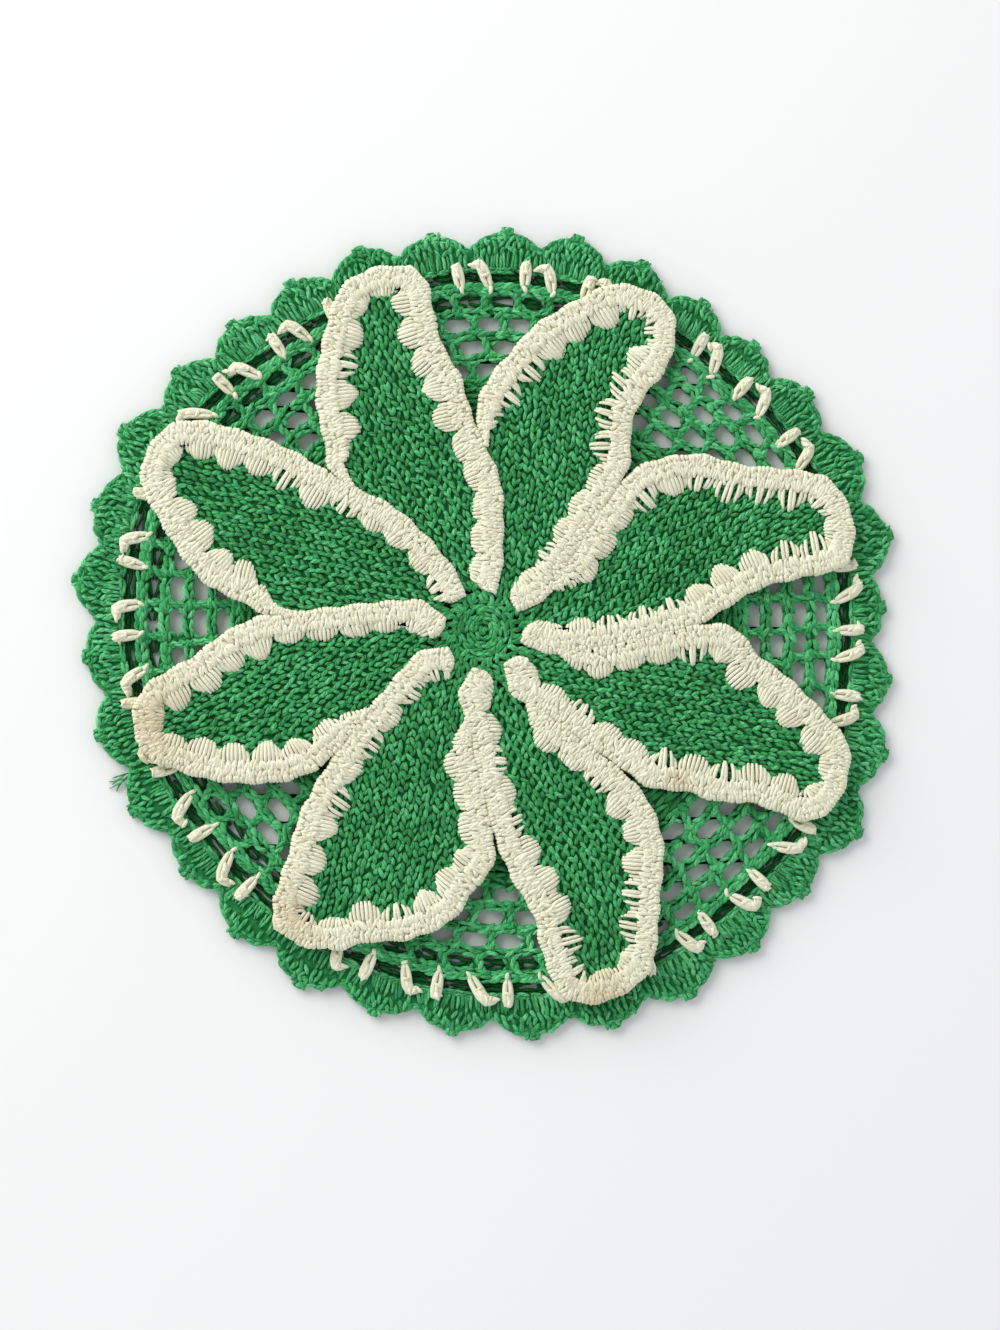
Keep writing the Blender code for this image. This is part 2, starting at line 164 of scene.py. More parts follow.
def cotton_yarn(name, dark, middle, light, grooves, stains=()):
    """Mercerised cotton crochet yarn, spun from plies. The eye sees a soft surface with a
    faint silky gloss along each strand, fine slanting grooves between the plies, strands
    that differ a little in tone, and hardly any sharp highlight."""
    plies = 3
    drift = 9.0                  # mm, the size of the slow changes of colour
    fluff = 0.35                 # mm, the size of the unevenness of the fibres
    ply_depth, fluff_depth = 0.3 * MM, 0.25 * MM
    darkest, lightest = 0.35, 1.65    # the slow change plus a strand's own tone
    solid, gone = 0.6, 1.5       # where a stain starts to fade and where it ends, in radii
    material, shader, place = new_material(name, middle)
    tone = add_node(material, "ShaderNodeAttribute", {}, attribute_name="tone").outputs["Fac"]
    slow = add_node(material, "ShaderNodeTexNoise",
                    {"Vector": place, "Scale": 1 / (drift * MM), "Detail": 2.0})
    both = add_node(material, "ShaderNodeMath", {0: slow.outputs["Fac"], 1: tone},
                    operation="ADD")
    share = add_node(material, "ShaderNodeMapRange",
                     {"Value": both.outputs[0], "From Min": darkest, "From Max": lightest})
    colours = add_node(material, "ShaderNodeValToRGB", {"Fac": share.outputs[0]})
    ramp = colours.color_ramp
    ramp.elements[0].color = linear(dark)
    ramp.elements[1].color = linear(light)
    ramp.elements.new(0.5).color = linear(middle)
    colour = colours.outputs["Color"]
    for x, y, radius, strength in stains:
        away = add_node(material, "ShaderNodeVectorMath",
                        {0: place, 1: (x * MM, y * MM, BORDER_TOP * MM)}, operation="DISTANCE")
        ragged = add_node(material, "ShaderNodeTexNoise",
                          {"Vector": place, "Scale": 1 / (radius * 0.5 * MM), "Detail": 3.0})
        edge = add_node(material, "ShaderNodeMath",
                        {0: ragged.outputs["Fac"], 1: radius * MM, 2: away.outputs["Value"]},
                        operation="MULTIPLY_ADD")
        spot = add_node(material, "ShaderNodeMapRange",
                        {"Value": edge.outputs[0], "From Min": solid * radius * MM,
                         "From Max": gone * radius * MM, "To Min": strength, "To Max": 0.0})
        stained = add_node(material, "ShaderNodeMix",
                           {0: spot.outputs[0], 6: colour, 7: linear(STAIN_COLOUR)},
                           data_type="RGBA", blend_type="MULTIPLY")
        colour = stained.outputs[2]
    yarn = add_node(material, "ShaderNodeUVMap", {}, uv_map="yarn").outputs["UV"]
    parts = add_node(material, "ShaderNodeSeparateXYZ", {"Vector": yarn}).outputs
    turns = add_node(material, "ShaderNodeMath",
                     {0: parts["X"], 1: float(plies), 2: parts["Y"]}, operation="MULTIPLY_ADD")
    wave = add_node(material, "ShaderNodeMath", {0: turns.outputs[0], 1: math.pi},
                    operation="MULTIPLY")
    groove = add_node(material, "ShaderNodeMath", {0: wave.outputs[0]}, operation="SINE")
    round_ply = add_node(material, "ShaderNodeMath", {0: groove.outputs[0]},
                         operation="ABSOLUTE")
    plied = add_node(material, "ShaderNodeBump",
                     {"Height": round_ply.outputs[0], "Strength": grooves,
                      "Distance": ply_depth})
    fibres = add_node(material, "ShaderNodeTexNoise",
                      {"Vector": place, "Scale": 1 / (fluff * MM), "Detail": 3.0})
    fuzzy = add_node(material, "ShaderNodeBump",
                     {"Height": fibres.outputs["Fac"], "Strength": 0.35,
                      "Distance": fluff_depth, "Normal": plied.outputs["Normal"]})
    set_inputs(material, shader, {
        "Base Color": colour, "Normal": fuzzy.outputs["Normal"], "Roughness": 0.72,
        "IOR": COTTON_IOR, "Specular IOR Level": 0.35, "Sheen Weight": 0.1,
        "Sheen Roughness": 0.45})
    return material


def cotton_in_painted_shade(name, dark, light):
    """The same cotton deep between the stitches, where only crossing loops show: dull, with
    small rounded lumps as large as a stitch. Its colours are darker than the yarn's, painted
    shade between the stitches, and each lump is lighter in its middle and darker where it
    meets the next, painted shade between the lumps."""
    lump, lump_depth = 1.3, 0.4      # mm
    material, shader, place = new_material(name, light)
    lumps = add_node(material, "ShaderNodeTexVoronoi",
                     {"Vector": place, "Scale": 1 / (lump * MM)}).outputs["Distance"]
    # lighter in each lump's middle and darker where lumps meet: painted shade
    colours = add_node(material, "ShaderNodeValToRGB", {"Fac": lumps})
    colours.color_ramp.elements[0].color = linear(light)
    colours.color_ramp.elements[1].color = linear(dark)
    raised = add_node(material, "ShaderNodeBump",
                      {"Height": lumps, "Strength": 0.9, "Distance": lump_depth * MM},
                      invert=True)
    set_inputs(material, shader, {
        "Base Color": colours.outputs["Color"], "Normal": raised.outputs["Normal"],
        "Roughness": 0.9, "IOR": COTTON_IOR, "Specular IOR Level": 0.2})
    return material


# ---------------------------------------------------------------- lines to crochet along

def around(step):
    """Direction in degrees of places along the rounds, counted in scallops."""
    tips = TIP_DIRECTIONS
    turned = np.concatenate([tips - 360, tips, tips + 360, tips[:1] + 720])
    return np.interp(step, np.arange(-SCALLOPS, 2 * SCALLOPS + 1), turned)


def swell(step):
    """How much further out than their mean the rounds lie at places along them."""
    tips = TIP_REACHES
    near = (np.roll(tips, 1) + tips + np.roll(tips, -1)) / 3
    looped = np.concatenate([near, near, near, near[:1]])
    return SWELL_SHARE * (np.interp(step, np.arange(-SCALLOPS, 2 * SCALLOPS + 1), looped)
                          - tips.mean())


def polar(degrees, radius, centre=ROUND_CENTRE):
    """Points at directions and distances from a centre."""
    angle = np.radians(degrees)
    return np.stack([centre[0] + radius * np.cos(angle),
                     centre[1] + radius * np.sin(angle)], -1)


def on_round(step, radius):
    """Points of the rounds, which follow the edging a little out and in."""
    return polar(around(step), radius + swell(step))


def stitch_line(points, closed=False):
    """A line to lay stitches along: its points, how far along it each is, and if it closes."""
    points = np.asarray(points, float)
    if closed:
        points = np.vstack([points, points[:1]])
    legs = np.linalg.norm(np.diff(points, axis=0), axis=1)
    return points, np.concatenate([[0.0], np.cumsum(legs)]), closed


def round_line(radius):
    """The stitch line of a whole round."""
    return stitch_line(on_round(ALL_ROUND, radius), True)


def walk(line, distance):
    """The places at distances along a line, and the unit directions of the line there."""
    points, along, closed = line

    def at(where):
        where = where % along[-1] if closed else where
        return np.stack([np.interp(where, along, points[:, axis]) for axis in (0, 1)], -1)

    reach = 0.4
    ahead = at(distance + reach) - at(distance - reach)
    ahead /= np.maximum(np.linalg.norm(ahead, axis=-1, keepdims=True), 1e-9)
    return at(distance), ahead


def left_of(ahead):
    """Unit directions to the left of others."""
    return np.stack([-ahead[..., 1], ahead[..., 0]], -1)


def at_height(places, height):
    """Places with a height added."""
    heights = np.broadcast_to(np.asarray(height, float), places.shape[:-1])
    return np.concatenate([places, heights[..., None]], -1)


def loosely(count, amount):
    """Small uneven differences, none of them large."""
    return np.clip(CHANCE.normal(0, amount, count), -2 * amount, 2 * amount)


# ---------------------------------------------------------------- yarn

def level_across(start, end):
    """Level directions across the ways from starts to ends."""
    flat = end[:, :2] - start[:, :2]
    flat = flat / np.maximum(np.linalg.norm(flat, axis=1, keepdims=True), 1e-6)
    return at_height(left_of(flat), 0.0)


def between(start, end, share):
    """The points at shares of the ways from starts to ends."""
    return start[:, None] * (1 - share)[:, None] + end[:, None] * share[:, None]


def strands(start, end, radius, rise=0.0, bow=0.0, points=6, blunt=0.5):
    """Short pieces of yarn from starts to ends. Each rises in its middle, may bow to its
    left, and is thinner at both ends, where it dives under others."""
    count = len(start)
    t = np.linspace(0, 1, points)
    hump = 1 - np.abs(2 * t - 1) ** 2.2
    radius, rise, bow = (np.broadcast_to(np.asarray(value, float), (count,))
                         for value in (radius, rise, bow))
    across = level_across(start, end)
    line = between(start, end, t) + across[:, None] * (bow[:, None] * hump)[..., None]
    line[..., 2] += rise[:, None] * hump
    thick = radius[:, None] * (blunt + (1 - blunt) * hump ** 0.6)
    return line, thick, across


def strokes(places, degrees, length, radius, height, rise=0.4, points=5):
    """Single short stitches that lie at places in directions."""
    count = len(places)
    turn = np.radians(degrees)
    half = length / 2 * (1 + loosely(count, 0.1))[:, None]
    half = half * np.stack([np.cos(turn), np.sin(turn)], 1)
    height = height + loosely(count, 0.08)
    return strands(at_height(places - half, height), at_height(places + half, height),
                   radius * (1 + loosely(count, 0.08)), rise, loosely(count, 0.12), points,
                   blunt=0.45)


def twisted_pair(start, end, radius, spread, turns, phase, points):
    """Two yarns twisted round each other from starts to ends."""
    t = np.linspace(0, 1, points)
    across = level_across(start, end)
    made = []
    for half in (0.0, math.pi):
        angle = 2 * math.pi * turns * t[None] + phase[:, None] + half
        line = between(start, end, t) + across[:, None] * (spread * np.cos(angle))[..., None]
        line[..., 2] += spread * 0.8 * np.sin(angle)
        thick = radius * (0.75 + 0.25 * np.sin(math.pi * t) ** 0.5)
        made.append((line, np.broadcast_to(thick, angle.shape), across))
    return made


def chain(line, pitch, width, radius, height, rise=0.3, points=5, loose=0.06):
    """A row of chain stitches along a line, seen as a row of Vs: the two arms of each start
    apart and meet inside the next."""
    lap = 1.3                        # how far an arm reaches, in pitches
    foot_share, head_share = 0.42, 0.25    # where the arms start and meet, in widths
    length = line[1][-1]
    count = max(2, round(length / pitch))
    if line[2]:
        distance = np.arange(count) * length / count
    else:
        distance = np.linspace(0, length - pitch * lap, count)
    distance = distance + loosely(count, loose * pitch)
    made = []
    for side in (-1, 1):
        foot, way = walk(line, distance + loosely(count, loose * pitch))
        head, head_way = walk(line, distance + pitch * lap)
        wide = side * width * (foot_share + loosely(count, loose))[:, None]
        start = at_height(foot + left_of(way) * wide, height - rise + loosely(count, loose))
        end = at_height(head + left_of(head_way) * wide * head_share, height - rise * 0.6)
        made.append(strands(start, end, radius * (1 + loosely(count, 1.5 * loose)), rise,
                            side * 0.12 * width, points))
    return made


def kept(batches, keep):
    """The strands of batches that a test of their middles keeps."""
    result = []
    for line, thick, across in batches:
        chosen = keep(line[:, line.shape[1] // 2, :2])
        result.append((line[chosen], thick[chosen], across[chosen]))
    return result


# ---------------------------------------------------------------- pieces

def dress(name, mesh, material, node):
    """A piece of the scene in one material, which rides on the doily and stands for a solid,
    which it hides."""
    mesh.materials.clear()
    mesh.materials.append(material)
    piece = bpy.data.objects.new(name, mesh)
    bpy.context.scene.collection.objects.link(piece)
    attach(piece, "root")
    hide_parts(node)
    return piece


def yarn_piece(name, node, batches, material, sides=5, flatness=1.0):
    """One mesh of many strands: rings of vertices along each, closed at both ends. Its UV map
    runs round and along the yarn, and each strand has a tone of its own."""
    vertices, corners, sizes, uvs, tones = [], [], [], [], []
    first = 0
    for line, thick, across in batches:
        count, rings = line.shape[:2]
        ahead = np.gradient(line, axis=1)
        ahead /= np.linalg.norm(ahead, axis=2, keepdims=True)
        side = across[:, None] - (across[:, None] * ahead).sum(2, keepdims=True) * ahead
        side /= np.linalg.norm(side, axis=2, keepdims=True)
        up = np.cross(ahead, side)
        angle = 2 * math.pi * (np.arange(sides) + 0.5) / sides
        spokes = (side[:, :, None] * np.cos(angle)[:, None]
                  + up[:, :, None] * (flatness * np.sin(angle))[:, None])
        rounds = line[:, :, None] + spokes * thick[..., None, None]
        vertices.append(rounds.reshape(-1, 3))
        index = first + np.arange(count * rings * sides).reshape(count, rings, sides)
        after = np.roll(index, -1, axis=2)
        quads = np.stack([index[:, :-1], after[:, :-1], after[:, 1:], index[:, 1:]], -1)
        corners += [quads.ravel(), index[:, 0, ::-1].ravel(), index[:, -1].ravel()]
        sizes += [np.full(count * (rings - 1) * sides, 4), np.full(2 * count, sides)]
        legs = np.linalg.norm(np.diff(line, axis=1), axis=2)
        along = np.concatenate([np.zeros((count, 1)), np.cumsum(legs, 1)], 1) / PLY_PITCH
        along = along + CHANCE.random((count, 1))
        u = np.broadcast_to(np.arange(sides) / sides, (count, rings - 1, sides))
        v0 = np.broadcast_to(along[:, :-1, None], u.shape)
        v1 = np.broadcast_to(along[:, 1:, None], u.shape)
        wall = np.stack([np.stack([u, v0], -1), np.stack([u + 1 / sides, v0], -1),
                         np.stack([u + 1 / sides, v1], -1), np.stack([u, v1], -1)], -2)
        uvs += [wall.reshape(-1, 2), np.zeros((2 * count * sides, 2))]
        tones.append(np.repeat(CHANCE.random(count), rings * sides))
        first += count * rings * sides
    vertices, corners = np.concatenate(vertices), np.concatenate(corners)
    sizes, uvs = np.concatenate(sizes), np.concatenate(uvs)
    mesh = bpy.data.meshes.new(name)
    mesh.vertices.add(len(vertices))
    mesh.vertices.foreach_set("co", (vertices * MM).astype(np.float32).ravel())
    mesh.loops.add(len(corners))
    mesh.loops.foreach_set("vertex_index", corners.astype(np.int32))
    mesh.polygons.add(len(sizes))
    mesh.polygons.foreach_set("loop_start",
                              np.concatenate([[0], np.cumsum(sizes)[:-1]]).astype(np.int32))
    layer = mesh.uv_layers.new(name="yarn")
    layer.uv.foreach_set("vector", uvs.astype(np.float32).ravel())
    tone = mesh.attributes.new("tone", "FLOAT", "POINT")
    tone.data.foreach_set("value", np.concatenate(tones).astype(np.float32))
    mesh.update(calc_edges=True)
    mesh.shade_smooth()
    return dress(name, mesh, material, node)


def core(name, node, levels, material, reshape=lambda places: places):
    """The cloth's inside: a thinner copy of a CAD node's solid, its outline moved so that the
    yarn over it hides it. Levels are the solid's heights and the heights they get here. The
    material it is given is a darker copy of the yarn's: painted shade where the inside shows
    between the strands."""
    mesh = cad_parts[node].data.copy()
    mesh.name = name
    places = np.array([vertex.co for vertex in mesh.vertices]) / MM
    heights = np.interp(places[:, 2], *zip(*levels))
    moved = at_height(reshape(places[:, :2]), heights) * MM
    mesh.vertices.foreach_set("co", moved.astype(np.float32).ravel())
    return dress(name, mesh, material, node)


def inside(outline, places):
    """Whether places lie inside a closed outline."""
    x, y = places[:, :1], places[:, 1:]
    x0, y0 = outline.T
    x1, y1 = np.roll(x0, -1), np.roll(y0, -1)
    passes = (y0 > y) != (y1 > y)
    slope = (x1 - x0) / np.where(y1 == y0, 1e-9, y1 - y0)
    return (passes & (x < x0 + slope * (y - y0))).sum(1) % 2 == 1


def nearest(points, places, head_start=0.0):
    """How far places are from the nearest of some points, and which one that is. Points can
    have a head start, by which they count as nearer than they are."""
    apart = np.linalg.norm(places[:, None] - points[None], axis=2)
    which = (apart - head_start).argmin(1)
    return apart[np.arange(len(places)), which], which


# ---------------------------------------------------------------- the mat, ladder and edging

def open_gaps(places):
    """Move the corners of the mat's gaps apart."""
    wider, higher, corner = 1.35, 1.25, 2.6
    middles = np.concatenate([on_round(np.arange(count) * SCALLOPS / count, radius)
                              for radius, count in MESH_ROUNDS])
    far, which = nearest(middles, places)
    middle = middles[which]
    out = middle - ROUND_CENTRE
    out /= np.linalg.norm(out, axis=1, keepdims=True)
    across = left_of(out)
    offset = places - middle
    moved = (middle + out * (offset * out).sum(1, keepdims=True) * higher
             + across * (offset * across).sum(1, keepdims=True) * wider)
    return np.where(far[:, None] < corner, moved, places)


def mat_yarn(keep):
    """The mat's rounds of square mesh: twisted posts between rounds of chain that arch from
    post to post, a knot where they meet, and the firm double chain at the rim."""
    arch = 0.45
    second_chain = 0.8               # how far out of the first it is, at the rim
    corner_out, corner_turn = 1.35, 40    # of the strokes that fill the corners of a gap
    counts = [count for _, count in MESH_ROUNDS] + [MESH_ROUNDS[-1][1]]
    batches = []
    for radius, count in zip(CHAIN_ROUNDS, counts):
        arched = radius + arch * np.cos(2 * math.pi * count * ALL_ROUND / SCALLOPS)
        batches += chain(round_line(arched), pitch=2.2, width=1.7, radius=0.55, height=1.95,
                         rise=0.35, loose=0.14)
    batches += chain(round_line(CHAIN_ROUNDS[0] + second_chain), pitch=2.2, width=1.4,
                     radius=0.52, height=2.15, rise=0.3, loose=0.12)
    for (radius, count), outside, within in zip(MESH_ROUNDS, CHAIN_ROUNDS, CHAIN_ROUNDS[1:]):
        step = (np.arange(count) + 0.5) * SCALLOPS / count
        foot = on_round(step + loosely(count, 0.05), within + 0.2)
        head = on_round(step + loosely(count, 0.05) + 0.02, outside - 0.2)
        batches += twisted_pair(at_height(foot, 1.75), at_height(head, 1.8), radius=0.54,
                                spread=0.5, turns=1.2,
                                phase=CHANCE.uniform(0, 2 * math.pi, count), points=7)
        for knots in (foot, head):
            turned = around(step) + 90 + loosely(count, 30)
            batches.append(strokes(knots + loosely((count, 2), 0.3), turned, length=2.6,
                                   radius=0.5, height=2.0))
        for out, side in ((1, 1), (1, -1), (-1, 1), (-1, -1)):
            beside = step + side * SCALLOPS / (2 * math.pi * radius)
            turned = around(step) + out * side * corner_turn + loosely(count, 15)
            corners = on_round(beside, radius + out * corner_out) + loosely((count, 2), 0.2)
            batches.append(strokes(corners, turned, length=2.3, radius=0.48, height=1.5,
                                   rise=0.2))
    return kept(batches, keep)


def under_yarn():
    """The lower side of those rounds."""
    post_height = 0.75
    batches = []
    for radius in CHAIN_ROUNDS:
        batches += chain(round_line(radius), pitch=3.2, width=1.5, radius=0.56, height=0.66,
                         rise=0.1, points=4)
    for (radius, count), outside, within in zip(MESH_ROUNDS, CHAIN_ROUNDS, CHAIN_ROUNDS[1:]):
        step = (np.arange(count) + 0.5) * SCALLOPS / count
        batches.append(strands(at_height(on_round(step, within), post_height),
                               at_height(on_round(step, outside), post_height),
                               radius=0.72, points=4))
    return batches


def middle_yarn(height, inner):
    """The mat's closed middle: rounds of close stitches from a radius outwards."""
    row_pitch = 2.7
    batches = []
    steps = np.arange(0, SCALLOPS, 0.1)
    for radius in np.arange(inner, CLOSED_TO, row_pitch):
        points = polar(around(steps), radius + radius / CLOSED_TO * swell(steps))
        batches += chain(stitch_line(points, True), pitch=3.3, width=2.3, radius=0.6,
                         height=height, rise=0.1, points=4)
    return batches


def hub_yarn(keep):
    """The middle of the pinwheel, where the leaves' stitches run together: small rounds of
    chain, then rings of single stitches that lie lower further out."""
    slope = 0.09                     # how fast the rings sink outside the hub
    ring_pitch, stitch_pitch = 1.3, 1.2
    leaning, upright = 42, 5         # degrees between a ring's stitches and straight out
    batches = []
    for radius in (0.9, 2.6, 4.3, 6.0):
        ring = polar(np.linspace(0, 360, 60, endpoint=False), radius, PINWHEEL_CENTRE)
        batches += chain(stitch_line(ring, True), pitch=2.0, width=1.5, radius=0.5,
                         height=HUB_TOP, rise=0.3, loose=0.1)
    for ring, radius in enumerate(np.arange(7.2, 16, ring_pitch)):
        count = round(2 * math.pi * radius / stitch_pitch)
        turned = 360 * (np.arange(count) + CHANCE.random()) / count
        places = polar(turned, radius, PINWHEEL_CENTRE) + loosely((count, 2), 0.3)
        lying = turned + (leaning if ring % 2 else upright) + loosely(count, 16)
        low = HUB_TOP - slope * max(0.0, radius - HUB_RADIUS)
        batches.append(strokes(places, lying, length=2.5, radius=0.55, height=low - 0.1))
    return kept(batches, keep)


def ladder_yarn():
    """The ecru round: each post is a plump bundle of strands with a slit in its inner third.
    Its outer end is a lump on the edging, which at the slanted posts hooks anticlockwise."""
    points = 9
    hook_from = 0.62                 # share of a post's line where it is all the way out,
    turn_from = 0.75 * hook_from     # and where it starts to turn into its hook
    foot, length, hooked_in = 75.6, 5.7, 0.5    # how far out posts start, go, and turn in
    toe = 81.0                       # how far out the lump at their end lies
    narrow, plump = 0.12, 0.54       # from a bundle's middle to its outer strands
    after_slit = 3                   # the point where the strand between those starts
    scallop = np.arange(SCALLOPS)
    inner = np.concatenate([scallop + STRAIGHT_POST, scallop + SLANTED_POST - POST_LEAN / 2])
    outer = np.concatenate([scallop + STRAIGHT_POST, scallop + SLANTED_POST + POST_LEAN / 2])
    hook = np.repeat([0.02, 0.17], SCALLOPS)
    count = len(inner)
    inner, outer = inner + loosely(count, 0.03), outer + loosely(count, 0.03)
    hook = hook + loosely(count, 0.02)
    t = np.linspace(0, 1, points)
    straight = np.minimum(t / hook_from, 1.0)
    turned = np.clip((t - turn_from) / (1 - turn_from), 0, 1) ** 1.5
    step = inner[:, None] + (outer - inner)[:, None] * straight + hook[:, None] * turned
    out = foot + loosely(count, 0.4)[:, None] + length * straight - hooked_in * turned
    middle = on_round(step, out)
    way = np.gradient(middle, axis=1)
    way /= np.linalg.norm(way, axis=2, keepdims=True)
    hump = np.sin(math.pi * t) ** 0.5
    spread = narrow + plump * np.sin(math.pi * t ** 0.75) ** 0.8
    thick = np.broadcast_to(0.66 * (0.5 + 0.5 * hump), (count, points))
    upright = np.tile([0.0, 0.0, 1.0], (count, 1))
    batches = []
    for side in (-1, 0, 1):
        line = middle + left_of(way) * (side * spread + loosely((count, 1), 0.05))[..., None]
        line = at_height(line, 2.15 + (0.35 if side else 0.55) * hump
                         + loosely((count, 1), 0.05))
        shown = slice(0 if side else after_slit, None)
        batches.append((line[:, shown], thick[:, shown], upright))
    # short stitches across a post: the point of its line, and how far they turn from it
    for point, lean in ((3, 50), (5, -50), (6, 55)):
        facing = np.degrees(np.arctan2(way[:, point, 1], way[:, point, 0]))
        batches.append(strokes(middle[:, point] + loosely((count, 2), 0.15),
                               facing + lean + loosely(count, 20), length=1.9, radius=0.42,
                               height=2.8, rise=0.3, points=4))
    toes = on_round(outer + hook * 0.85, toe + loosely(count, 0.15))
    batches.append(strokes(toes, around(outer) + 90 + loosely(count, 30), length=2.0,
                           radius=0.48, height=2.3, rise=0.4))
    feet = on_round(inner, foot + 0.2 + loosely(count, 0.15))
    batches.append(strokes(feet, around(inner) + loosely(count, 25), length=1.8, radius=0.48,
                           height=2.3, rise=0.3))
    return batches


def rim_at(step):
    """How far out the edging's rim is at places along the rounds, as the solid has it."""
    side_share, blunt = 0.58, 1.3    # how far up a scallop's sides bend; cut off its tip
    places, radii = [], []
    for scallop, tip in enumerate(TIP_REACHES):
        before, after = ((TIP_REACHES[(scallop + side) % SCALLOPS] + tip) / 2 - VALLEY_DEPTH
                         for side in (-1, 1))
        places += [scallop + part for part in (-0.5, -0.3, -0.1, 0, 0.1, 0.3)]
        radii += [before, before + side_share * (tip - before), tip - blunt, tip - blunt,
                  tip - blunt, after + side_share * (tip - after)]
    return np.interp((step + 0.5) % SCALLOPS - 0.5, places, radii, period=SCALLOPS)


def edging_yarn():
    """The scallops: fine stitches fan out of the ladder's chain, thicker ones at all angles
    fill each shell up to the chain along its edge."""
    per_scallop = 20
    foot_share = 0.94                # of a scallop's width, for the feet of its fan
    row_pitch, stitch_pitch, outermost, margin = 1.3, 1.45, 92, 0.7
    across = (np.arange(per_scallop) + 0.5) / per_scallop - 0.5
    step = (np.arange(SCALLOPS)[:, None] + across).ravel()
    nearer = (np.arange(SCALLOPS)[:, None] + foot_share * across).ravel()
    count = len(step)
    start = at_height(polar(around(nearer), FIRST_EDGING_ROW + swell(step)
                            + loosely(count, 0.12)), 1.7)
    end = at_height(polar(around(step + loosely(count, 0.03)),
                          FAN_TOP + swell(step) + loosely(count, 0.5)), 1.9)
    batches = [strands(start, end, radius=0.37 + loosely(count, 0.04), rise=0.3,
                       bow=loosely(count, 0.2), points=5)]
    for radius in np.arange(FAN_TOP + 0.2, outermost, row_pitch):
        count = round(2 * math.pi * radius / stitch_pitch)
        step = (np.arange(count) + CHANCE.random()) * SCALLOPS / count + loosely(count, 0.012)
        out = radius + loosely(count, 0.25)
        chosen = out < rim_at(step) - margin
        step, out = step[chosen], out[chosen]
        lying = around(step) + loosely(len(step), 24)
        batches.append(strokes(polar(around(step), out), lying, length=2.2, radius=0.47,
                               height=1.75))
    steps = np.arange(-0.5, SCALLOPS - 0.5, 0.05)
    batches += chain(stitch_line(polar(around(steps), rim_at(steps) - 0.6), True), pitch=1.9,
                     width=1.15, radius=0.5, height=1.5, rise=0.35, loose=0.12)
    batches += chain(stitch_line(on_round(steps, FIRST_EDGING_ROW + 0.1), True), pitch=2.4,
                     width=0.9, radius=0.42, height=1.75, rise=0.2, points=4, loose=0.15)
    return batches


def foot_yarn():
    """The edging's lowest loops, deep in the shade between the ladder's posts, and those that
    half close the outermost mesh underneath, except at the right. They are dark loops that
    stand for the shade in those gaps: painted shade."""
    closed_to = 38
    batches = []
    for radius in (CHAIN_ROUNDS[0] + 1.7, FIRST_EDGING_ROW - 0.9):
        batches += chain(round_line(radius), pitch=3.2, width=1.3, radius=0.5, height=0.62,
                         rise=0.1, points=4, loose=0.15)
    painted_shade_loops = chain(round_line(MESH_ROUNDS[0][0]), pitch=3.2, width=2.2, radius=0.55,
                    height=0.62, rise=0.1, points=4, loose=0.15)
    return batches + kept(painted_shade_loops, lambda places: places[:, 0] < closed_to)


def picot_yarn():
    """The small blunt point at each scallop's tip: three stitches side by side, and a cap."""
    tips = np.arange(SCALLOPS) + loosely(SCALLOPS, 0.015)
    batches = []
    for place, lean in ((-0.062, 14), (0.0, 0), (0.062, -14)):
        middle = polar(around(tips + place), TIP_REACHES - 0.95 - 2 * abs(place))
        lying = around(tips) - lean + loosely(SCALLOPS, 12)
        batches.append(strokes(middle, lying, length=1.9, radius=0.5, height=1.3, rise=0.25))
    cap = polar(around(tips), TIP_REACHES - 0.5)
    batches.append(strokes(cap, around(tips) + 90 + loosely(SCALLOPS, 15), length=1.7,
                           radius=0.45, height=1.3))
    return batches


def yarn_tail():
    """The frayed end of the edging's yarn, at the left of the doily."""
    root = np.array([-77.6, -31.3])
    fray = np.array([(-3.8, -1.0), (-4.4, -3.2), (-2.9, -3.8), (-3.8, -2.3), (-4.5, -1.8)])
    start = at_height(root + loosely((len(fray), 2), 0.3), 0.9)
    end = at_height(root + fray, 0.3)
    return [strands(start, end, radius=0.2, rise=0.5, bow=loosely(len(fray), 0.5), points=7,
                    blunt=0.6)]


# ---------------------------------------------------------------- petals

def smooth(points, step):
    """Points about a step apart along an open smooth curve through the ones given."""
    ends = [points[0]] + list(points) + [points[-1]]
    result = []
    for a, b, c, d in zip(ends, ends[1:], ends[2:], ends[3:]):
        a, b, c, d = (np.array(point, float) for point in (a, b, c, d))
        pieces = max(1, round(math.dist(b, c) / step))
        for piece in range(pieces):
            t = piece / pieces
            result.append(0.5 * (2 * b + (c - a) * t + (2 * a - 5 * b + 4 * c - d) * t * t
                                 + (3 * b - a - 3 * c + d) * t ** 3))
    result.append(np.array(points[-1], float))
    return np.array(result)


def own_outline(petal):
    """The outer line of a petal, in its own directions: x to its clockwise side, y out."""
    right, left, reach, skew = petal.right, petal.left, petal.reach, petal.skew
    points = [BORDER_END[1]] + list(zip(right, RIGHT_STATIONS))
    points += [
        (right[-1], reach - TIP_DROP),
        (TIP_CORNER_WIDTH * right[-1], reach - TIP_CORNER_DROP),
        (0.0, reach - skew / 3),
        (TIP_CORNER_WIDTH * left[0], reach - TIP_CORNER_DROP - skew),
        (left[0], reach - TIP_DROP - skew),
    ]
    points += list(zip(left[1:], LEFT_STATIONS))
    return smooth(points, 0.6)


def place_petal(petal, points):
    """Turn a petal's own points into the doily's."""
    axis = math.radians(petal.direction)
    out = np.array([math.cos(axis), math.sin(axis)])
    clockwise = np.array([out[1], -out[0]])
    return np.array(PINWHEEL_CENTRE) + points[..., :1] * clockwise + points[..., 1:2] * out


def petal_outline(petal):
    """The outer line of a petal on the doily."""
    return place_petal(petal, own_outline(petal))


def seen_part(petal):
    """A petal's own outline up to where its border runs under its neighbour."""
    outline = own_outline(petal)
    tip = outline[:, 1].argmax()
    order = np.arange(len(outline))
    return outline[(order < tip) | (outline[:, 1] > petal.tuck)]


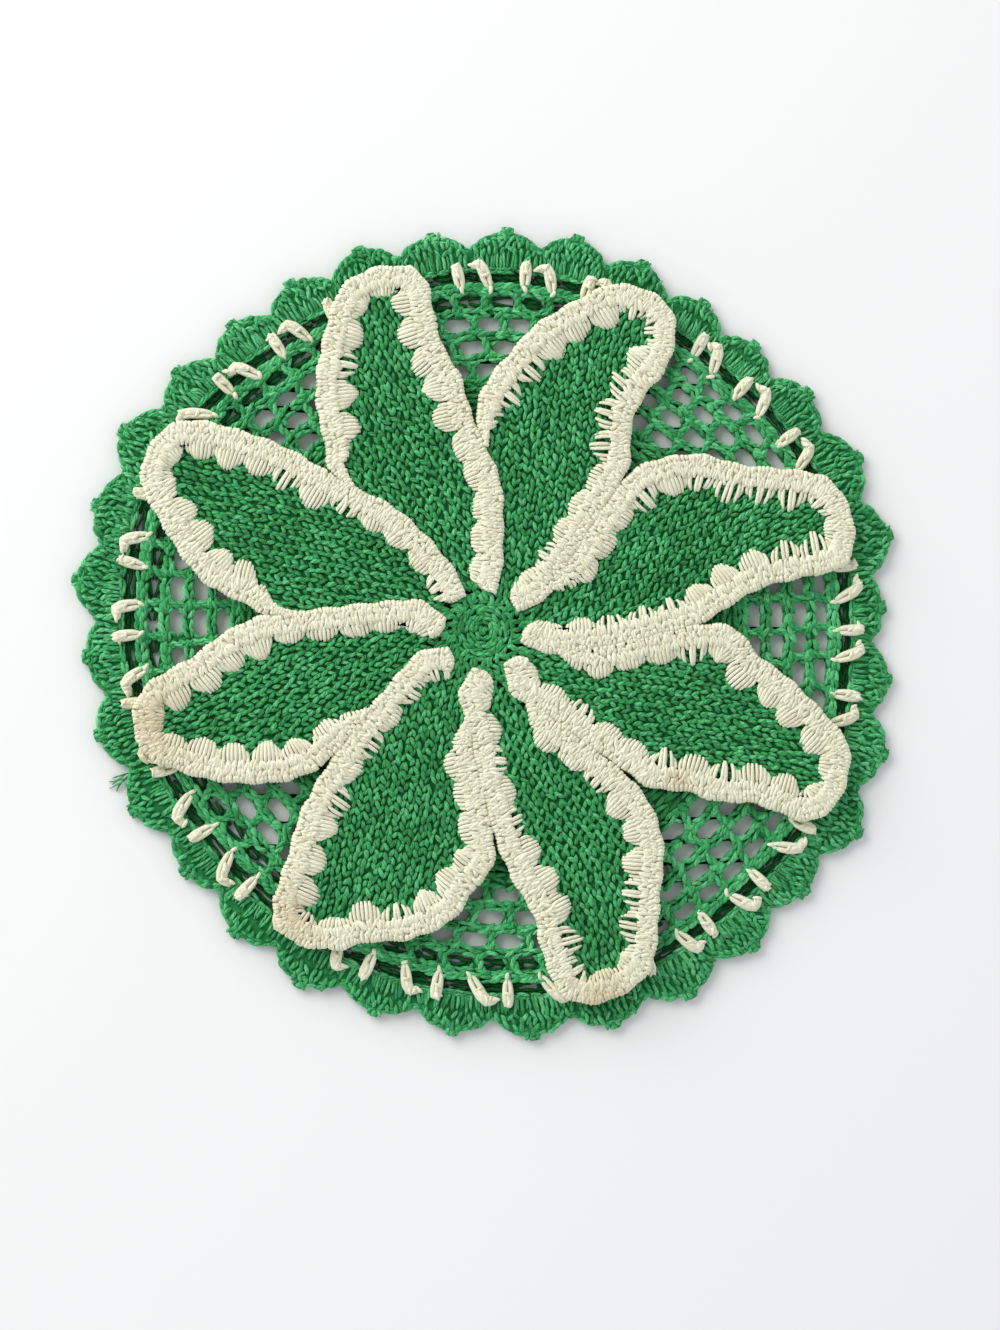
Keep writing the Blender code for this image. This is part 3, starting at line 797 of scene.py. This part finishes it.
def inset(points, distance):
    """The line moved to its left, without the loops that this makes in its tight bends."""
    line = stitch_line(points)
    place, ahead = walk(line, np.arange(0, line[1][-1], 0.5))
    moved = place + left_of(ahead) * distance
    gap = np.linalg.norm(moved[:, None] - place[None], axis=2).min(1)
    return moved[gap > distance - 0.05]


def border_line(petal):
    """The outer line of a petal's border, and the border's width at distances along it."""
    edge = stitch_line(place_petal(petal, seen_part(petal)))

    def width(distance):
        rest = np.clip((edge[1][-1] - distance) / END_TAPER, 0, 1)
        return END_WIDTH + (BORDER_WIDTH - END_WIDTH) * rest

    return edge, width


def clear_of(petal):
    """A test of whether places are clear of a petal that lies over them, or only just under
    its rim."""
    tucked_in = 1.0
    cover = inset(petal_outline(petal), tucked_in)
    return lambda places: ~inside(cover, places)


def plain_strip(petal):
    """A border's core: no teeth, and a little in from the outer line."""
    outer_margin, inner_margin = 0.4, 0.7
    edge, width = border_line(petal)

    def reshape(places):
        gap, which = nearest(edge[0], places, width(edge[1]))
        distance = edge[1][which]
        place, ahead = walk(edge, distance)
        depth = np.clip(gap, outer_margin,
                        np.maximum(width(distance) - inner_margin, outer_margin + 0.05))
        return place + left_of(ahead) * depth[:, None]

    return reshape


def filled_leaf(petal, over_it):
    """A leaf's core: out to its border's core, without the notches for the teeth, except by
    the petal that lies over it."""
    overlap = 0.6
    beside_border, beside_next = 10.5, 0.8
    edge, width = border_line(petal)
    cover = petal_outline(over_it)

    def reshape(places):
        gap, which = nearest(edge[0], places, width(edge[1]))
        distance = edge[1][which]
        place, ahead = walk(edge, distance)
        moved = place + left_of(ahead) * (width(distance) - overlap)[:, None]
        beside = (gap < beside_border) & (which > 0) & (which < len(edge[0]) - 1)
        beside &= nearest(cover, places)[0] > beside_next
        return np.where(beside[:, None], moved, places)

    return reshape


def border_wraps(petal, border_at, length):
    """Stitches that wrap over a border's inner end and its outer side. Each goes from the top
    over the rim and down, through five points."""
    pitch = 0.85
    depth = np.array([1.9, 0.95, 0.42, 0.25, 0.5])
    height = np.array([5.45, 5.56, 5.15, 4.3, 3.2])
    radius = np.array([0.38, 0.53, 0.53, 0.5, 0.42])
    unevenness = np.array([1, 0.3, 0, 0, 0])
    end = stitch_line(place_petal(petal, smooth(ROUND_END + BORDER_END[1:], 0.6)))
    first = end[1][-1]
    count = round((first + length) / pitch)
    distance = (np.arange(count) + 0.5) * (first + length) / count - first
    place, ahead, share = border_at(np.maximum(distance + loosely(count, 0.12), 0))
    turning = distance < 0
    place[turning], ahead[turning] = walk(end, distance[turning] + first)
    slant = loosely(count, 0.25)[:, None] * np.linspace(1, -1, len(depth))
    reach = depth * (share[:, None] + unevenness * loosely(count, 0.2)[:, None])
    flat = (place[:, None] + left_of(ahead)[:, None] * reach[..., None]
            + ahead[:, None] * slant[..., None])
    line = at_height(flat, height + loosely(count, 0.04)[:, None])
    return line, radius * (1 + loosely(count, 0.06))[:, None], at_height(ahead, 0.0)


def border_rows(border_at, length):
    """The rows of low close stitches along a border's top."""
    batches = []
    for near, far, pitch in ((1.3, 3.1, 0.72), (2.5, 4.9, 0.62)):
        count = round(length / pitch)
        distance = (np.arange(count) + CHANCE.random()) * length / count + loosely(count, 0.12)
        place, ahead, share = border_at(distance)
        inward = left_of(ahead)
        lean = ahead * loosely(count, 0.42)[:, None]
        start = place + inward * ((near + loosely(count, 0.3)) * share)[:, None] - lean
        end = place + inward * ((far + loosely(count, 0.3)) * share)[:, None] + lean
        tall = 5.45 + loosely(count, 0.05)
        batches.append(strands(at_height(start, tall), at_height(end, tall),
                               radius=0.5 + loosely(count, 0.03), rise=0.1,
                               bow=loosely(count, 0.08), points=4, blunt=0.75))
    return batches


def border_teeth(petal):
    """A border's broad teeth: groups of long fine strands, shorter at the sides of each. Open
    ones lack every third strand."""
    per_tooth = 8
    fullness, side_loss, squareness = 1.14, 0.62, 2.6    # of the strands' reach in a tooth
    rooted = 1.2                     # how far under the border's rows they start
    root_height, tip_height = 5.3, 4.85
    own_base = inset(seen_part(petal), BORDER_WIDTH)
    base, own = stitch_line(place_petal(petal, own_base)), stitch_line(own_base)
    length = base[1][-1]
    teeth = round(length / TOOTH_PITCH)
    tooth = np.repeat(np.arange(teeth), per_tooth)
    in_tooth = np.tile(np.arange(per_tooth), teeth)
    is_open = (CHANCE.random(teeth) < petal.open_share)[tooth]
    shown = ~is_open | (in_tooth % 3 != 2)
    tooth, in_tooth, is_open = tooth[shown], in_tooth[shown], is_open[shown]
    across = (in_tooth + 0.5) / per_tooth - 0.5
    aside = np.abs(2 * across)
    count = len(tooth)
    gather = CHANCE.uniform(0.72, 0.9, teeth)[tooth]
    lean = loosely(teeth, 0.06)[tooth] + is_open * loosely(count, 0.02)
    middle, _ = walk(own, (tooth + 0.5) / teeth * length)
    deep = (middle[:, 1] > OUTER_HALF) & (middle[:, 1] < petal.reach - TOOTHLESS_TIP)
    reach = np.where(deep, TOOTH_DEPTH, INNER_TOOTH_DEPTH)
    reach = reach * (1 + TOOTH_UNEVENNESS * np.sin(TOOTH_WAVE * tooth + petal.direction))
    reach = reach * (fullness - side_loss * aside ** squareness)
    reach = reach + loosely(count, 0.1) + is_open * loosely(count, 0.25)
    rest = np.clip((0.5 - across + teeth - 1 - tooth) / teeth * length / END_TAPER, 0, 1)
    back = (1 - rest) * (BORDER_WIDTH - END_WIDTH)
    root, root_way = walk(base, (tooth + 0.5 + 0.9 * across) / teeth * length)
    end, end_way = walk(base, (tooth + 0.5 + lean + across * gather) / teeth * length)
    start = root - left_of(root_way) * (rooted + back + loosely(count, 0.3))[:, None]
    finish = end + left_of(end_way) * (reach * rest - back)[:, None]
    return strands(at_height(start, root_height),
                   at_height(finish, tip_height - 0.4 * aside ** 2),
                   radius=0.46 + loosely(count, 0.03), rise=0.42 - 0.25 * aside,
                   bow=-0.9 * across, blunt=0.7)


def border_yarn(petal, keep):
    """A petal's thick border. Its outline bulges a little at each tooth."""
    edge, width = border_line(petal)
    length = edge[1][-1]

    def border_at(distance):
        """Places on the outer line, the directions of the line there, and the border's share
        of its full width."""
        place, ahead = walk(edge, distance)
        bulge = 0.22 * np.cos(2 * math.pi * distance / TOOTH_PITCH)
        return (place - left_of(ahead) * bulge[:, None], ahead,
                (width(distance) + bulge) / BORDER_WIDTH)

    wraps = border_wraps(petal, border_at, length)
    rows = border_rows(border_at, length)
    return kept([wraps, *rows, border_teeth(petal)], keep)


def leaf_yarn(petal, keep):
    """A petal's leaf: rows of stitches across it, each seen as a long stroke that slants
    anticlockwise of the petal's axis, more upright near its tip, and a shorter one beside it
    that leans the other way."""
    column_pitch, row_pitch = 2.15, 1.75
    column_lean, pivot = -0.3, 40    # sideways for each millimetre further out than this
    upright_from, upright_to, left_slant = 50.0, 74.0, 0.25
    columns, rows = (grid.ravel() for grid in np.meshgrid(
        np.arange(-24, 24), np.arange(6.0, petal.reach, row_pitch)))
    edge, width = border_line(petal)
    outline = petal_outline(petal)
    batches = []
    for aside, along, turned, length, radius, height in (
            (0.0, 0.0, 4, 2.4, 0.54, 4.34), (1.08, 0.45, -44, 2.1, 0.5, 4.28)):
        y = rows + along
        x = columns * column_pitch + aside + column_lean * (y - pivot)
        places = np.stack([x, y], 1) + loosely((len(x), 2), 0.18)
        fade = np.clip((y - upright_from) / (upright_to - upright_from), 0, 1)
        lying = petal.direction + (petal.slant + turned) * (1 - (1 - left_slant) * fade)
        placed = place_petal(petal, places)
        gap, which = nearest(edge[0], placed, width(edge[1]))
        reach = width(edge[1][which]) - (BORDER_WIDTH - LEAF_MARGIN)
        chosen = inside(outline, placed) & (gap > reach) & keep(placed)
        count = int(chosen.sum())
        batches.append(strokes(placed[chosen], lying[chosen] + loosely(count, 13), length,
                               radius, height, rise=0.36, points=4))
    return batches


# ---------------------------------------------------------------- putting it together

def make_camera():
    """The camera of the photograph: almost straight above, a little to the left and front."""
    aim = Vector((2.91, -7.32, 0)) * MM
    away = 0.7                       # metres
    focal, frame_height = 3188.5, 1330    # in pixels of the photograph
    lean_left, lean_front = math.radians(5), math.radians(3)
    back = Vector((-math.tan(lean_left), -math.tan(lean_front), 1)).normalized()
    across = Vector((0, 1, 0)).cross(back).normalized()
    up = back.cross(across)
    data = bpy.data.cameras.new("camera")
    data.sensor_width = 36
    data.lens = data.sensor_width * focal / frame_height
    data.clip_start = 0.05
    camera = bpy.data.objects.new("camera", data)
    camera.rotation_mode = "QUATERNION"
    camera.location = aim + back * away
    camera.rotation_quaternion = Matrix((across, up, back)).transposed().to_quaternion()
    bpy.context.scene.collection.objects.link(camera)
    bpy.context.scene.camera = camera


def make_light(name, place, size, power, colour):
    """A soft square studio light that points at the doily."""
    data = bpy.data.lights.new(name, "AREA")
    data.size = size
    data.energy = power
    data.color = linear(colour)[:3]
    light = bpy.data.objects.new(name, data)
    light.location = place
    light.rotation_mode = "QUATERNION"
    light.rotation_quaternion = Vector(place).to_track_quat("Z", "Y")
    bpy.context.scene.collection.objects.link(light)


def make_stage():
    """A plain pale table in soft light, brighter from the sides than from straight above."""
    side_strength, top_strength = 1.68, 0.22
    paper = bpy.data.materials.new("Matt white paper")
    paper.use_nodes = True
    set_inputs(paper, paper.node_tree.nodes["Principled BSDF"],
               {"Base Color": linear("#EEEEEF"), "Roughness": 0.9})
    bpy.ops.mesh.primitive_plane_add(size=6, location=(0, 0, 0))
    floor = bpy.context.object
    floor.name = "table"
    floor.data.materials.append(paper)
    world = bpy.data.worlds.new("studio")
    world.use_nodes = True
    toward = add_node(world, "ShaderNodeTexCoord", {}).outputs["Generated"]
    up = add_node(world, "ShaderNodeSeparateXYZ", {"Vector": toward}).outputs["Z"]
    bright = add_node(world, "ShaderNodeMapRange",
                      {"Value": up, "From Min": 0.1, "From Max": 1.0,
                       "To Min": side_strength, "To Max": top_strength})
    set_inputs(world, world.node_tree.nodes["Background"],
               {"Color": linear("#F6F8FA"), "Strength": bright.outputs[0]})
    bpy.context.scene.world = world
    make_light("window", (-0.84, 0.75, 0.64), size=1.0, power=15.5, colour="#FFFDF8")
    bpy.context.scene.view_settings.view_transform = "Standard"


def make_doily():
    """Every piece of the doily: the mat with its ladder and edging, then petal by petal."""
    green = cotton_yarn("Green mercerised cotton", "#1D7F3E", "#31A056", "#57C27A", 0.9)
    # the same green yarn with lighter colours for the openwork, mesh, edging and picots: painted
    # light
    openwork_green_painted_lighter = cotton_yarn("Green mercerised cotton in openwork", "#238C4B", "#3CAC64",
                             "#67CE8A", 0.85)
    ecru = cotton_yarn("Ecru mercerised cotton", "#D9D6BA", "#E1DFC6", "#EAE8D1", 0.25, STAINS)
    # darker copies of the three yarns for the cores under the strands: painted shade between the
    # stitches
    green_in_painted_shade = cotton_in_painted_shade("Green cotton in painted shade between stitches", "#0A4A1E", "#186C31")
    openwork_cotton_in_painted_shade = cotton_in_painted_shade("Green cotton in painted shade inside openwork", "#17602F", "#2A8A49")
    ecru_in_painted_shade = cotton_in_painted_shade("Ecru cotton in painted shade between stitches", "#BFBC9F", "#D6D3B9")

    tests = [clear_of(petal) for petal in PETALS]

    def clear_of_petals(places):
        return np.all([test(places) for test in tests], 0)

    # the mat's core in the darker cotton: painted shade seen between the strands
    mat = core("mat_core", "ground", ((0, 0.65), (LAYER_TOP, 1.65), (HUB_TOP, 3.8)),
               openwork_cotton_in_painted_shade, open_gaps)
    extras = [
        yarn_piece("mat_rounds", "ground", mat_yarn(clear_of_petals), openwork_green_painted_lighter, sides=6),
        yarn_piece("mat_under", "ground", under_yarn(), green),
        yarn_piece("mat_middle", "ground", middle_yarn(height=0.62, inner=2.0)
                   + kept(middle_yarn(height=1.9, inner=26.0), clear_of_petals), green),
        yarn_piece("mat_hub", "ground", hub_yarn(clear_of_petals), green, sides=6),
        # the ladder's and edging's cores in the darker cottons: painted shade between the
        # strands
        core("ladder_core", "ladder", ((0, 0.3), (POST_TOP, 1.5)), ecru_in_painted_shade),
        yarn_piece("ladder_posts", "ladder", ladder_yarn(), ecru, sides=6),
        core("edging_core", "edging", ((0, 0.4), (LAYER_TOP, 1.75)), openwork_cotton_in_painted_shade),
        yarn_piece("edging_shells", "edging", edging_yarn(), openwork_green_painted_lighter),
        # the edging's lowest loops in the darker green: painted shade in the ladder's gaps and
        # under the outer mesh
        yarn_piece("edging_foot", "edging", foot_yarn(), green_in_painted_shade),
        yarn_piece("edging_picots", "edging", picot_yarn() + yarn_tail(), openwork_green_painted_lighter, sides=6),
    ]
    for number, petal in enumerate(PETALS, 1):
        leaf_node, border_node = f"petal_{number}", f"petal_edge_{number}"
        over_it = PETALS[number % len(PETALS)]
        keep = clear_of(over_it)
        # the leaf's core in the darker green: painted shade between the strokes
        inner = core(f"leaf_core_{number}", leaf_node,
                     ((PETAL_BASE, PETAL_BASE), (FIELD_TOP, 4.3)), green_in_painted_shade,
                     filled_leaf(petal, over_it))
        on_top = [
            yarn_piece(f"leaf_{number}", leaf_node, leaf_yarn(petal, keep), green,
                       flatness=0.85),
            # the border's core in the darker ecru: painted shade between the strands
            core(f"border_core_{number}", border_node,
                 ((PETAL_BASE, PETAL_BASE), (BORDER_TOP, 5.4)), ecru_in_painted_shade,
                 plain_strip(petal)),
            yarn_piece(f"border_{number}", border_node, border_yarn(petal, keep), ecru,
                       flatness=0.7),
        ]


make_camera()
make_stage()
make_doily()
